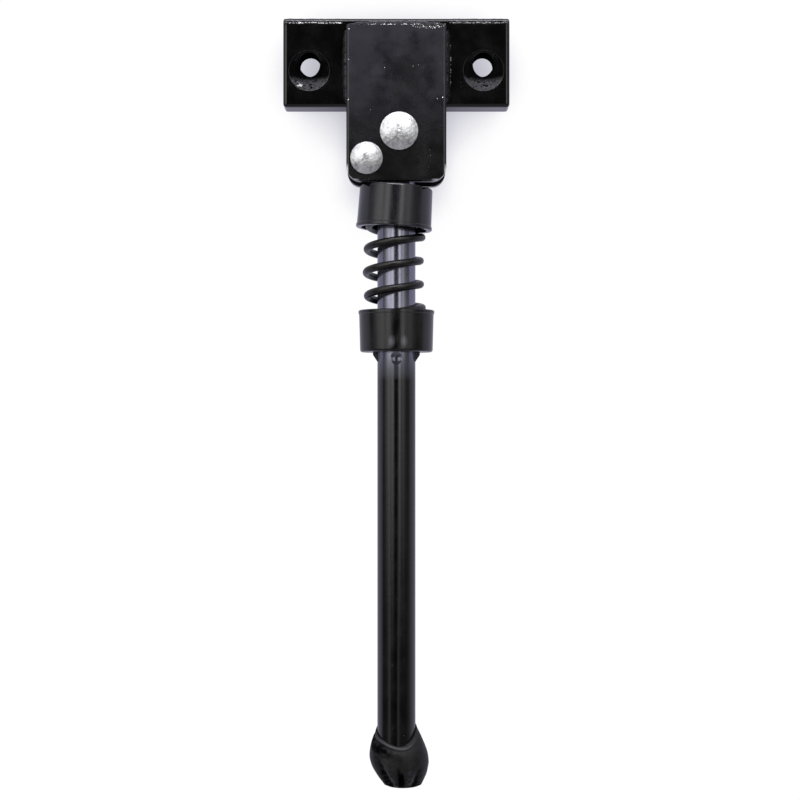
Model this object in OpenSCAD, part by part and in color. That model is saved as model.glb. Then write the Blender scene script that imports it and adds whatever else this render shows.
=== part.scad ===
// Bicycle kickstand with a welded T bracket, a riveted leg and a spring-loaded detent collar.
// Millimetres. The origin lies midway between the two screw holes, on the back face of the bar.
// X runs along the bar, Z points up, and Y points into the frame tube that the bar is screwed to.

/* [Mounting bar] */
// Length of the bar along the two screw holes
bar_l = 62.4; // [58:0.2:80]
// Height of the bar
bar_h = 24.4; // [20:0.2:30]
// Thickness of the bar, which also sets the gap between the cheeks
bar_t = 8; // [7:0.5:10]
// Rounding of the bar's edges
bar_r = 1; // [0.3:0.1:1.5]
// Distance between the centres of the two screw holes
hole_pitch = 48; // [44:1:49]
// Diameter of each screw hole
hole_d = 5.8; // [4.5:0.1:6.5]
// Diameter of each countersink at the front face
sink_d = 11.2; // [10:0.1:13]
// Distance that each countersink was drilled below the centre of its hole
sink_drop = 2.3; // [0:0.1:2.6]

/* [Cheeks] */
// Width of each cheek plate
cheek_w = 27.4; // [24:0.2:28]
// Thickness of each cheek plate
cheek_t = 3; // [2.5:0.25:4]
// Height of the cheeks below the pivot
cheek_drop = 13.6; // [12:0.1:16]
// Step from the top of the bar down to the top of the cheeks
cheek_step = 2.6; // [1.8:0.1:4]
// Radius of the cheeks' lower corners
corner_r = 4; // [2:0.25:6]
// Rounding of the cheeks' outer edges
cheek_edge = 0.8; // [0.3:0.1:1.2]

/* [Welds] */
// Width of a side bead where it lies on the bar
weld_leg = 1.2; // [0.8:0.1:2]
// Height of a side bead
weld_h = 20; // [14:0.5:20.5]

/* [Rivets] */
// Shank diameter of the pivot rivet and the stop rivet
shank_d = 5.6; // [5:0.1:6.4]
// Distance from the bar's lower edge down to the pivot
pivot_drop = 7.2; // [7:0.1:10]
// Distance from the rod's centre line to the pivot
pivot_shift = 0.75; // [0:0.05:1]
// Distance from the pivot down to the stop rivet
stop_drop = 7.4; // [6.5:0.1:8.5]
// Head diameter of the pivot rivet
pivot_head_d = 10.4; // [9:0.1:12]
// Head diameter of the stop rivet
stop_head_d = 8.8; // [8:0.1:10]
// Height of the domed heads
head_h = 1.9; // [1.2:0.1:2.5]
// Height of the flatter heads that are formed on the rear
tail_h = 1.3; // [0.8:0.1:2]

/* [Leg] */
// Diameter of the leg rod
rod_d = 10.6; // [8:0.2:11]
// Length of the leg from the pivot to the sole
leg_l = 180.1; // [150:1:260]
// Width across the two pinched ears that carry the lower collar
ear_w = 13; // [12:0.1:14]
// Height of the pinched ears
ear_h = 2.6; // [2:0.1:4]
// Thickness of the pinched ears, front to back
ear_t = 3.4; // [2.5:0.1:5]
// Depth of the dents that the pinching tool left
pinch_depth = 0.6; // [0.3:0.1:1]

/* [Collars and spring] */
// Height of each collar
cup_h = 11.6; // [10:0.1:14]
// Thickness of each collar's closed end
cup_floor = 4.6; // [4.4:0.1:6]
// Wall of each collar at its open rim
cup_wall = 1.2; // [1:0.1:2]
// Draft of each collar, as the gain in radius from the closed end to the rim
cup_draft = 0.25; // [0.1:0.05:0.8]
// Height of the raised lip round the open rim
lip_h = 1.1; // [0.6:0.1:2]
// Lean of the upper collar on the rod, in degrees
cup_lean = 3.5; // [0:0.25:3.5]
// Outer diameter of the spring
spring_d = 17; // [16.8:0.1:18]
// Diameter of the spring wire
wire_d = 2.1; // [1.6:0.1:2.2]
// Length of the fitted spring
spring_l = 36; // [32:0.5:44]
// Turns of the spring, with one closed turn at each end
spring_turns = 6.55; // [5:0.05:8]
// Sideways bow of the fitted spring at its middle
spring_bow = 0.9; // [0:0.05:1]

/* [Foot] */
// Height of the rubber foot before its mouth is cut on the slant
foot_h = 18; // [15:0.5:24]
// Greatest width of the foot
foot_w = 16.4; // [14.5:0.1:20]
// Width of the sole
sole_w = 10.5; // [8:0.1:13]
// Thickness of rubber below the rod's end
sole_t = 4; // [3:0.25:6]
// Wall of the foot at its mouth
mouth_wall = 0.5; // [0.4:0.1:1.5]
// Distance that the sole lies to the side of the rod's centre line
toe_out = 1.8; // [0:0.05:2.5]
// Slant of the foot's mouth from front to back, in degrees
mouth_slant = 27; // [10:1:30]
// Tilt of the foot's mouth to one side, in degrees
mouth_tilt = 8; // [0:1:10]

/* [Hidden] */
$fn = 64;

// Clearances
rivet_fit = 0.05;     // radial play of a rivet shank in its bores
stop_gap = 0.05;      // gap between the rod and the stop rivet at rest
tang_gap = 0.15;      // play between the tang and each cheek
cup_gap = 0.85;       // gap from the cheeks down to the middle of the upper collar
cup_fit = 0.4;        // radial play of the collars on the rod
coil_fit = 0.65;      // radial play of the spring in the collars
coil_end_gap = 0.6;   // room under the leaning collar for the spring's top end
relief_gap = 0.12;    // play of the cheeks in the collar's relief slots
boot_fit = 0.05;      // radial play of the rod in the foot

// Levels and places
leg_y = -bar_t / 2;
pivot_z = -bar_h / 2 - pivot_drop;
stop_z = pivot_z - stop_drop;
stop_x = -rod_d / 2 - shank_d / 2 - stop_gap;
cheek_top = bar_h / 2 - cheek_step;
cheek_bottom = pivot_z - cheek_drop;
cup_top = cheek_bottom - cup_gap;
spring_top = cup_top - cup_floor - coil_end_gap;
spring_bottom = spring_top - spring_l;
seat_z = spring_bottom - cup_floor;
sole_z = pivot_z - leg_l;
rod_end_z = sole_z + sole_t;

// Shapes that follow from the sizes above
tang_t = bar_t - 2 * tang_gap;
eye_r = rod_d / 2 + pivot_shift;
grip = bar_t + 2 * cheek_t;
corner_reach = norm([cheek_w / 2 - corner_r - pivot_shift, cheek_drop - corner_r]) + corner_r;
relief_r = corner_reach + relief_gap;
top_leg = cheek_t - 0.1;
top_rise = cheek_step - bar_r * 0.7;
shoulder = (rod_d - tang_t) / 2;
shoulder_z = pivot_z - relief_r - 0.1;
cup_bore_r = rod_d / 2 + cup_fit;
cavity_r = spring_d / 2 + coil_fit;
rim_r = cavity_r + cup_wall;
lip_out = 0.2;
cup_edge = 0.7;
coil_r = (spring_d - wire_d) / 2;
closed_pitch = wire_d * 1.02;
coil_low = spring_bottom + wire_d / 2;
coil_high = spring_top - wire_d / 2;
open_pitch = (coil_high - coil_low - 2 * closed_pitch) / (spring_turns - 2);
coil_slope = atan(open_pitch / (2 * PI * coil_r));
coil_start = 125;     // angle of the wire's lower end about the rod
rings_per_turn = 20;
mouth_share = 0.78;    // height of the mouth's middle as a share of the foot's height

steel_black = "#17181a";
plastic_black = "#222325";
rubber_black = "#262626";
zinc = "#c9ccd0";

// A rectangle with round corners, centred on the origin
module rounded_rect(w, h, r) {
    square([w - 2 * r, h], center = true);
    square([w, h - 2 * r], center = true);
    for (x = [-1, 1], y = [-1, 1])
        translate([x * (w / 2 - r), y * (h / 2 - r)])
            circle(r);
}

// A closed solid through rings of points, each ring anticlockwise seen from the last one
module skin(rings) {
    n = len(rings[0]);
    last = len(rings) - 1;
    sides = [for (i = [0:last - 1], j = [0:n - 1])
        let (k = (j + 1) % n, low = i * n, high = (i + 1) * n)
        each [[low + j, high + j, high + k], [low + j, high + k, low + k]]];
    bottom = [for (j = [0:n - 1]) j];
    top = [for (j = [n - 1:-1:0]) last * n + j];
    polyhedron([for (ring = rings) each ring], concat(sides, [bottom, top]), convexity = 8);
}

// The bar with two countersunk screw holes
module mount_bar() {
    color(steel_black)
    difference() {
        intersection() {
            rotate([90, 0, 0])
                linear_extrude(bar_t)
                    rounded_rect(bar_l, bar_h, bar_r);
            rotate([90, 0, 90])
                linear_extrude(bar_l, center = true)
                    translate([leg_y, 0])
                        rounded_rect(bar_t, bar_h, bar_r);
            linear_extrude(bar_h, center = true)
                translate([0, leg_y])
                    rounded_rect(bar_l, bar_t, bar_r);
        }
        for (side = [-1, 1])
            translate([side * hole_pitch / 2, 0, 0])
                screw_hole();
    }
}

// A through hole with a right-angled countersink on the front face, a little low of the hole
module screw_hole() {
    rotate([90, 0, 0])
        translate([0, 0, -1])
            cylinder(h = bar_t + 2, d = hole_d);
    translate([0, -bar_t, -sink_drop])
        rotate([-90, 0, 0])
            translate([0, 0, -1])
                cylinder(h = sink_d / 2 + 1, r1 = sink_d / 2 + 1, r2 = 0);
}

// One cheek plate with its inner face at y = 0 and its outer face towards -Y
module cheek_plate() {
    difference() {
        intersection() {
            rotate([90, 0, 0])
                linear_extrude(cheek_t)
                    cheek_outline();
            translate([0, 0, cheek_bottom])
                linear_extrude(cheek_top - cheek_bottom)
                    cheek_plan();
            rotate([90, 0, 90])
                linear_extrude(cheek_w, center = true)
                    cheek_side();
        }
        rivet_bore(pivot_shift, pivot_z);
        rivet_bore(stop_x, stop_z);
    }
}

// The cheek seen from the front
module cheek_outline() {
    translate([-cheek_w / 2, cheek_bottom + corner_r])
        square([cheek_w, cheek_top - cheek_bottom - corner_r]);
    translate([corner_r - cheek_w / 2, cheek_bottom])
        square([cheek_w - 2 * corner_r, corner_r * 2]);
    for (side = [-1, 1])
        translate([side * (cheek_w / 2 - corner_r), cheek_bottom + corner_r])
            circle(corner_r);
}

// The cheek seen from above, with its outer edges rounded
module cheek_plan() {
    translate([cheek_edge - cheek_w / 2, -cheek_t])
        square([cheek_w - 2 * cheek_edge, cheek_t]);
    translate([-cheek_w / 2, cheek_edge - cheek_t])
        square([cheek_w, cheek_t - cheek_edge]);
    for (side = [-1, 1])
        translate([side * (cheek_w / 2 - cheek_edge), cheek_edge - cheek_t])
            circle(cheek_edge);
}

// The cheek seen from the side, with its lower outer edge rounded
module cheek_side() {
    translate([-cheek_t, cheek_bottom + cheek_edge])
        square([cheek_t, cheek_top - cheek_bottom - cheek_edge]);
    translate([cheek_edge - cheek_t, cheek_bottom])
        square([cheek_t - cheek_edge, cheek_edge * 2]);
    translate([cheek_edge - cheek_t, cheek_bottom + cheek_edge])
        circle(cheek_edge);
}

module rivet_bore(x, z) {
    translate([x, 1, z])
        rotate([90, 0, 0])
            cylinder(h = cheek_t + 2, r = shank_d / 2 + rivet_fit);
}

module front_cheek() {
    color(steel_black)
    translate([0, -bar_t, 0])
        cheek_plate();
}

module rear_cheek() {
    color(steel_black)
    mirror([0, 1, 0])
        cheek_plate();
}

// A hand-laid weld bead along +Z, in the corner between the planes x = 0 and y = 0
module bead(length, leg_x, leg_y, phase) {
    steps = 26;
    skin([for (i = [0:steps])
        let (t = i / steps,
             ripple = 0.9 + 0.07 * sin(360 * t * 7 + phase) + 0.05 * sin(360 * t * 3.3 + 2 * phase),
             s = ripple * max(0.3, pow(sin(180 * t), 0.2)))
        concat([[0, 0, t * length]], [for (a = [0:22.5:90])
            let (flat = 1 - a / 90, bulge = 0.75)
            [leg_x * s * (bulge * cos(a) + (1 - bulge) * flat),
             leg_y * s * (bulge * sin(a) + (1 - bulge) * (1 - flat)),
             t * length]])]);
}

// The beads on the bar's outer face, drawn for the rear side and mirrored for the front
module side_bead(side, phase) {
    translate([side * cheek_w / 2, 0, bar_r - bar_h / 2])
        mirror([side < 0 ? 1 : 0, 0, 0])
            bead(weld_h, weld_leg, weld_leg, phase);
}

module top_bead(phase) {
    run = cheek_w - 1;
    translate([-run / 2, 0, cheek_top])
        rotate([90, 0, 90])
            bead(run, top_leg, top_rise, phase);
}

module on_front() {
    translate([0, -bar_t, 0])
        mirror([0, 1, 0])
            children();
}

module front_top_weld() {
    color(steel_black)
    on_front()
        top_bead(40);
}

module front_left_weld() {
    color(steel_black)
    on_front()
        side_bead(-1, 10);
}

module front_right_weld() {
    color(steel_black)
    on_front()
        side_bead(1, 75);
}

module rear_top_weld() {
    color(steel_black)
    top_bead(160);
}

module rear_left_weld() {
    color(steel_black)
    side_bead(-1, 200);
}

module rear_right_weld() {
    color(steel_black)
    side_bead(1, 300);
}

// A shallow dome on a thin rim, standing on z = 0
module dome(d, h) {
    rim = h * 0.2;
    cap = h - rim;
    ball = (d * d / 4 + cap * cap) / (2 * cap);
    cylinder(h = rim, d = d);
    intersection() {
        translate([0, 0, h - ball])
            sphere(ball, $fn = 96);
        translate([0, 0, rim])
            cylinder(h = cap, d = d);
    }
}

// A solid rivet across both cheeks, with its factory head in front
module rivet(head_d) {
    translate([0, leg_y, 0])
        rotate([90, 0, 0]) {
            cylinder(h = grip, d = shank_d, center = true);
            translate([0, 0, grip / 2])
                dome(head_d, head_h);
            translate([0, 0, -grip / 2])
                mirror([0, 0, 1])
                    dome(head_d * 0.95, tail_h);
        }
}

module pivot_rivet() {
    color(zinc)
    translate([pivot_shift, 0, pivot_z])
        rivet(pivot_head_d);
}

module stop_rivet() {
    color(zinc)
    translate([stop_x, 0, stop_z])
        rivet(stop_head_d);
}

// The leg rod with its flattened and eyed top, and the pinched ears under the lower collar
module leg_rod() {
    color(steel_black)
    difference() {
        union() {
            intersection() {
                translate([0, leg_y, rod_end_z])
                    cylinder(h = pivot_z - rod_end_z, d = rod_d);
                rotate([90, 0, 90])
                    linear_extrude(rod_d, center = true)
                        rod_side();
            }
            translate([pivot_shift, leg_y, pivot_z])
                rotate([90, 0, 0])
                    cylinder(h = tang_t, r = eye_r, center = true);
            for (side = [0, 1])
                mirror([side, 0, 0])
                    ear();
        }
        translate([pivot_shift, leg_y, pivot_z])
            rotate([90, 0, 0])
                cylinder(h = bar_t, r = shank_d / 2 + rivet_fit, center = true);
        for (side = [-1, 1])
            translate([0, leg_y + side * (rod_d / 2 + ear_t - pinch_depth), seat_z - ear_h / 2 - 0.4])
                sphere(ear_t);
    }
}

// The rod seen from the side: round below, two flats between the cheeks
module rod_side() {
    polygon([
        [leg_y - tang_t / 2, pivot_z],
        [leg_y + tang_t / 2, pivot_z],
        [leg_y + tang_t / 2, shoulder_z],
        [leg_y + rod_d / 2, shoulder_z - shoulder],
        [leg_y + rod_d / 2, rod_end_z],
        [leg_y - rod_d / 2, rod_end_z],
        [leg_y - rod_d / 2, shoulder_z - shoulder],
        [leg_y - tang_t / 2, shoulder_z]
    ]);
}

// One ear of metal squeezed out sideways
module ear() {
    translate([0, leg_y + ear_t / 2, 0])
        rotate([90, 0, 0])
            linear_extrude(ear_t)
                polygon([
                    [rod_d / 4, seat_z],
                    [ear_w / 2, seat_z],
                    [ear_w / 2, seat_z - ear_h * 0.3],
                    [rod_d / 2, seat_z - ear_h],
                    [rod_d / 4, seat_z - ear_h]
                ]);
}

// Half the section of a collar: closed end up at z = 0, open rim down
module cup_section() {
    top_r = rim_r - cup_draft;
    polygon([
        [cup_bore_r, 0],
        for (a = [90:-15:0])
            [top_r - cup_edge + cup_edge * cos(a), cup_edge * sin(a) - cup_edge],
        [rim_r, lip_h - cup_h],
        [rim_r + lip_out, lip_h - cup_h - lip_out],
        [rim_r + lip_out, lip_out - cup_h],
        [rim_r, -cup_h],
        [cavity_r, -cup_h],
        [cavity_r - 0.1, -cup_floor],
        [cup_bore_r, -cup_floor]
    ]);
}

// The collar that slides on the rod, with slots in its top for the cheeks' swinging corners
module upper_collar() {
    color(plastic_black)
    difference() {
        translate([0, leg_y, cup_top])
            rotate([0, cup_lean, 0])
                rotate_extrude($fn = 96)
                    cup_section();
        for (side = [-1, 1])
            translate([pivot_shift, leg_y + side * (bar_t + cheek_t) / 2, pivot_z])
                rotate([90, 0, 0])
                    cylinder(h = cheek_t + 2 * relief_gap, r = relief_r, center = true, $fn = 96);
    }
}

module lower_collar() {
    color(plastic_black)
    translate([0, leg_y, seat_z])
        mirror([0, 0, 1])
            rotate_extrude($fn = 96)
                cup_section();
}

// Height of the wire's centre after a number of turns
function coil_z(turn) =
    turn < 1 ? coil_low + turn * closed_pitch
    : turn < spring_turns - 1 ? coil_low + closed_pitch + (turn - 1) * open_pitch
    : coil_high - (spring_turns - turn) * closed_pitch;

// Centre of the wire after a number of turns, with the sideways bow
function coil_point(turn) =
    let (a = 360 * turn + coil_start,
         z = coil_z(turn),
         share = (z - coil_low) / (coil_high - coil_low))
    [coil_r * cos(a) - spring_bow * pow(sin(180 * share), 2), leg_y + coil_r * sin(a), z];

// One ring of points round the wire
function wire_ring(turn, sides) =
    let (a = 360 * turn + coil_start,
         out = [cos(a), sin(a), 0],
         up = [sin(a) * sin(coil_slope), -cos(a) * sin(coil_slope), cos(coil_slope)])
    [for (j = [0:sides - 1])
        let (b = 360 * j / sides)
        coil_point(turn) + wire_d / 2 * (cos(b) * out - sin(b) * up)];

module spring() {
    color("#3a3b38")
    skin([for (i = [0:round(spring_turns * rings_per_turn)])
        wire_ring(min(i / rings_per_turn, spring_turns), 10)]);
}

// Half width of the foot at a share of its height: round belly below, drawn in to the mouth above
function foot_half(share) =
    let (belly = 0.41, mouth = rod_d / 2 + mouth_wall)
    share < belly
    ? sole_w / 2 + (foot_w - sole_w) / 2 * sin(90 * share / belly)
    : mouth + (foot_w / 2 - mouth) * pow(cos(90 * (share - belly) / (1 - belly)), 2);

function foot_ring(share) =
    let (sides = 40, across = foot_half(share), deep = across * 0.93, x = toe_out * pow(1 - share, 1.6))
    [for (j = [0:sides - 1])
        let (a = 360 * j / sides)
        [x + across * cos(a), leg_y - 0.5 * (1 - share) + deep * sin(a), sole_z + share * foot_h]];

// A flat side pressed into the low front of the foot, a distance out from the sole's centre, turned
// about it and leaning out as it rises
module flat_side(distance, turn, lean) {
    translate([toe_out, leg_y, sole_z])
        rotate([0, 0, turn])
            translate([0, -distance, 0])
                rotate([lean, 0, 0])
                    translate([-foot_w, -foot_w, -foot_w])
                        cube([2 * foot_w, foot_w, 2 * foot_w]);
}

// The rubber boot: belly and sole off centre, slanted mouth, two flats at the low front with a
// pocket between them
module foot() {
    color(rubber_black)
    difference() {
        skin([for (i = [0:16]) foot_ring(i / 16)]);
        translate([0, leg_y, rod_end_z])
            cylinder(h = foot_h, r = rod_d / 2 + boot_fit);
        translate([0, leg_y, sole_z + foot_h * mouth_share])
            rotate([mouth_slant, -mouth_tilt, 0])
                translate([-foot_w, -foot_w, 0])
                    cube(2 * foot_w);
        flat_side(sole_w * 0.47, -42, 29);
        flat_side(sole_w * 0.47, 38, 29);
        translate([toe_out - sole_w * 0.05, leg_y - foot_w * 0.44, sole_z + foot_h * 0.15])
            rotate([0, 8, 0])
                scale([0.6, 0.6, 1.1])
                    sphere(2, $fn = 24);
    }
}

mount_bar();
front_cheek();
rear_cheek();
front_top_weld();
front_left_weld();
front_right_weld();
rear_top_weld();
rear_left_weld();
rear_right_weld();
pivot_rivet();
stop_rivet();
leg_rod();
lower_collar();
spring();
foot();
upper_collar();
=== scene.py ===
# A bicycle kickstand: a welded T bracket in black enamel, a leg on a rivet, a sprung collar that
# holds the leg up or down, and a rubber boot on the leg's end.
import math

import bpy
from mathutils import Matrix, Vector, noise


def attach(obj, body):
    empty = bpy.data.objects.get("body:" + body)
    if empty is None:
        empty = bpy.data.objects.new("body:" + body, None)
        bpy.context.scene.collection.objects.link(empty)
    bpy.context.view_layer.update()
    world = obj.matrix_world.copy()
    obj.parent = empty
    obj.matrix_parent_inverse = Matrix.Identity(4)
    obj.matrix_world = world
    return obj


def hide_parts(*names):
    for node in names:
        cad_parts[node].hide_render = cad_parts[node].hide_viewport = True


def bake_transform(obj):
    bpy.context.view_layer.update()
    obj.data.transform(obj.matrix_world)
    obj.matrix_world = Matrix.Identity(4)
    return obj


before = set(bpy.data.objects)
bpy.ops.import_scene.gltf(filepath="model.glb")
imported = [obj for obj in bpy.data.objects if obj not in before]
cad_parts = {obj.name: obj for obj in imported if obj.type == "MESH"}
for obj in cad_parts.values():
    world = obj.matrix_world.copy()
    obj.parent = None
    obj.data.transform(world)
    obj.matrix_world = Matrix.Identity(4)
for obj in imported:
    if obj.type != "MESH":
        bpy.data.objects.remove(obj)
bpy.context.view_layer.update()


# The mounting bar is a short length of flat steel with two countersunk screw holes. It is stoved
# in glossy black enamel after welding, and the paint lies thick and pebbled in the countersinks.
MM = 0.001


def add(tree, kind, inputs=None, **settings):
    """Adds a shader node, sets it up, and joins or sets its inputs."""
    made = tree.nodes.new(kind)
    for name, value in settings.items():
        setattr(made, name, value)
    for name, value in (inputs or {}).items():
        if isinstance(value, bpy.types.NodeSocket):
            tree.links.new(value, made.inputs[name])
        else:
            made.inputs[name].default_value = value
    return made


def new_finish(name, **uniform):
    """A new material whose shader has the given uniform values, with its tree and shader."""
    made = bpy.data.materials.new(name)
    made.use_nodes = True
    shader = made.node_tree.nodes["Principled BSDF"]
    for socket, value in uniform.items():
        shader.inputs[socket.replace("_", " ").title().replace("Ior", "IOR")].default_value = value
    return made, made.node_tree, shader


def new_group(name, inputs, outputs):
    """A shader group with named inputs and outputs, with its two end nodes."""
    group = bpy.data.node_groups.new(name, "ShaderNodeTree")
    for socket, value in inputs.items():
        kind = "NodeSocketColor" if isinstance(value, tuple) else "NodeSocketFloat"
        group.interface.new_socket(socket, in_out="INPUT", socket_type=kind).default_value = value
    for socket in outputs:
        kind = "NodeSocketColor" if socket == "Color" else "NodeSocketFloat"
        group.interface.new_socket(socket, in_out="OUTPUT", socket_type=kind)
    return group, group.nodes.new("NodeGroupInput").outputs, group.nodes.new("NodeGroupOutput").inputs


def placed(tree, group, **values):
    """A group placed in a material with its own values."""
    made = tree.nodes.new("ShaderNodeGroup")
    made.node_tree = group
    for name, value in values.items():
        made.inputs[name.replace("_", " ").title()].default_value = value
    return made.outputs


def at_size(tree, size, stretch=(1, 1, 1)):
    """The place on the object, divided so that one unit of a texture is a size in metres."""
    place = add(tree, "ShaderNodeTexCoord").outputs["Object"]
    ratio = tuple(1 / (size * s) for s in stretch)
    return add(tree, "ShaderNodeVectorMath", {0: place, 1: ratio}, operation="MULTIPLY").outputs[0]


def cloud(tree, size, stretch=(1, 1, 1), detail=2.0):
    """Soft noise with spots of a size in metres."""
    return add(tree, "ShaderNodeTexNoise", {"Vector": at_size(tree, size, stretch), "Scale": 1.0,
               "Detail": detail}).outputs["Fac"]


def lift(tree, value, low, high, to_low=0.0, to_high=1.0):
    """Maps a value from one range to another, clamped."""
    return add(tree, "ShaderNodeMapRange", {0: value, 1: low, 2: high, 3: to_low, 4: to_high}).outputs[0]


def combine(tree, operation, a, b):
    """One step of arithmetic on two values."""
    return add(tree, "ShaderNodeMath", {0: a, 1: b}, operation=operation).outputs[0]


def tint(tree, share, a, b):
    """Mixes two colours."""
    return add(tree, "ShaderNodeMix", {0: share, 6: a, 7: b}, data_type="RGBA").outputs[2]


def grey(value, blue=1.0):
    """A grey whose blue is raised by a ratio."""
    return (value, value, value * blue, 1.0)


def ramp_along(tree, axis, low, high):
    """A mask that is 0 at a low place and 1 at a high place along an axis of the object."""
    place = add(tree, "ShaderNodeTexCoord").outputs["Object"]
    apart = add(tree, "ShaderNodeSeparateXYZ", {0: place})
    return lift(tree, apart.outputs["XYZ".index(axis)], low, high)


def relief(tree, shader, height, depth, strength=1.0):
    """Gives a shader its fine surface relief, with a depth in metres."""
    made = add(tree, "ShaderNodeBump", {"Height": height, "Distance": depth, "Strength": strength})
    tree.links.new(made.outputs[0], shader.inputs["Normal"])


# Sprayed and stoved paint: orange peel, slow changes of gloss, and dust caught in the film
paint_film, film_in, film_out = new_group(
    "paint_film", {"Paint": grey(0.002), "Haze": grey(0.006), "Gloss": 0.16, "Dust": 0.3},
    ["Color", "Roughness", "Height"])
grain = cloud(paint_film, 0.35 * MM, detail=1.0)
slow = cloud(paint_film, 5 * MM, detail=3.0)
specks = add(paint_film, "ShaderNodeTexVoronoi", {"Vector": at_size(paint_film, 2.1 * MM), "Scale": 1.0})
dust = combine(paint_film, "MULTIPLY", lift(paint_film, specks.outputs["Distance"], 0.09, 0.045),
               lift(paint_film, slow, 0.5, 0.62))
dust = combine(paint_film, "MULTIPLY", dust, film_in["Dust"])
mottle = combine(paint_film, "MULTIPLY", lift(paint_film, slow, 0.35, 0.7),
                 lift(paint_film, grain, 0.35, 0.7, 0.5, 1.0))
film = tint(paint_film, mottle, film_in["Paint"], film_in["Haze"])
paint_film.links.new(tint(paint_film, dust, film, grey(0.2)), film_out["Color"])
wear_and_lip_highlight = combine(paint_film, "MULTIPLY_ADD", mottle, 0.1)
paint_film.links.new(film_in["Gloss"], wear_and_lip_highlight.node.inputs[2])
paint_film.links.new(combine(paint_film, "ADD", wear_and_lip_highlight, dust), film_out["Roughness"])
peel = combine(paint_film, "ADD", cloud(paint_film, 1.3 * MM), combine(paint_film, "MULTIPLY", dust, 0.6))
paint_film.links.new(peel, film_out["Height"])


def enamel_finish(name, paint, haze, gloss, dust, depth=0.02 * MM):
    """A paint with nothing else on it."""
    made, tree, shader = new_finish(name, specular_ior_level=0.5)
    film = placed(tree, paint_film, paint=paint, haze=haze, gloss=gloss, dust=dust)
    tree.links.new(film["Color"], shader.inputs["Base Color"])
    tree.links.new(film["Roughness"], shader.inputs["Roughness"])
    relief(tree, shader, film["Height"], depth)
    return made


def dress(material, *nodes):
    """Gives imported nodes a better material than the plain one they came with."""
    for name in nodes:
        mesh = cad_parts[name].data
        mesh.materials.clear()
        mesh.materials.append(material)


def new_piece(name, points, faces, material, body):
    """A smooth mesh piece that rides on a body."""
    mesh = bpy.data.meshes.new(name)
    mesh.from_pydata(points, [], faces)
    mesh.polygons.foreach_set("use_smooth", [True] * len(mesh.polygons))
    mesh.materials.append(material)
    made = bpy.data.objects.new(name, mesh)
    bpy.context.scene.collection.objects.link(made)
    if body:
        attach(made, body)
    return made


def skin(rings, ends=True, loop=False):
    """Points and faces through rings of equal length, each anticlockwise seen from the last one."""
    count, total = len(rings[0]), len(rings) * len(rings[0])
    faces = []
    for low in range(0, total if loop else total - count, count):
        for j in range(count):
            k = (j + 1) % count
            high = (low + count) % total
            faces.append((low + j, low + k, high + k, high + j))
    if ends and not loop:
        faces.append(tuple(reversed(range(count))))
        faces.append(tuple(range(total - count, total)))
    return [point for ring in rings for point in ring], faces


def rough(x, y, z, size):
    """Noise from -1 to 1 with lumps of a size in metres."""
    return noise.noise(Vector((x, y, z)) / size)


bar_enamel = enamel_finish("bar_enamel", grey(0.0016), grey(0.0035, 1.1), 0.12, 0.2)
dress(bar_enamel, "mount_bar")

HOLE_X, HOLE_R, SINK_R, SINK_DROP, BAR_T = 24 * MM, 2.9 * MM, 5.6 * MM, 2.3 * MM, 8 * MM
SINK_GLINT_AT = (-26.5 * MM, -7.2 * MM, -5.7 * MM)
bore_black, tree, shader = new_finish("bore_paint", specular_ior_level=0.0)
tree.links.new(tint(tree, cloud(tree, 0.6 * MM), grey(0.001), grey(0.004)), shader.inputs["Base Color"])
tree.links.new(lift(tree, cloud(tree, 0.9 * MM), 0.3, 0.7, 0.8, 1.0), shader.inputs["Roughness"])
sink_enamel, tree, shader = new_finish("sink_enamel", specular_ior_level=0.22)
film = placed(tree, paint_film, paint=grey(0.002), haze=grey(0.006, 1.1), gloss=0.14, dust=0.4)
# painted light: the lower part of the cone, which faces up towards the light, is coloured a pebbled grey
pebbled_painted_light = combine(tree, "MULTIPLY", ramp_along(tree, "Z", -3.5 * MM, -5.2 * MM),
                  lift(tree, cloud(tree, 0.6 * MM), 0.35, 0.65, 0.3, 1.0))
ground = tint(tree, pebbled_painted_light, film["Color"], grey(0.1, 1.12))
# a painted glint: one ragged spot on the left countersink is coloured near white
place = add(tree, "ShaderNodeTexCoord").outputs["Object"]
from_sink_glint = add(tree, "ShaderNodeVectorMath", {0: place, 1: SINK_GLINT_AT}, operation="DISTANCE").outputs["Value"]
ragged = lift(tree, cloud(tree, 0.6 * MM), 0.35, 0.65, 0.9 * MM, -0.9 * MM)
sink_glint = lift(tree, combine(tree, "ADD", from_sink_glint, ragged), 0.45 * MM, 0.25 * MM)
tree.links.new(tint(tree, sink_glint, ground, grey(0.8)), shader.inputs["Base Color"])
tree.links.new(film["Roughness"], shader.inputs["Roughness"])
relief(tree, shader, film["Height"], 0.03 * MM)


def inside_rim(x, z):
    """How far a place lies inside the rim of a countersink, x and z from the bore's centre. The cone
    has a right angle at its tip, so this is its depth there too."""
    return SINK_R - Vector((x, z + SINK_DROP)).length


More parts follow.
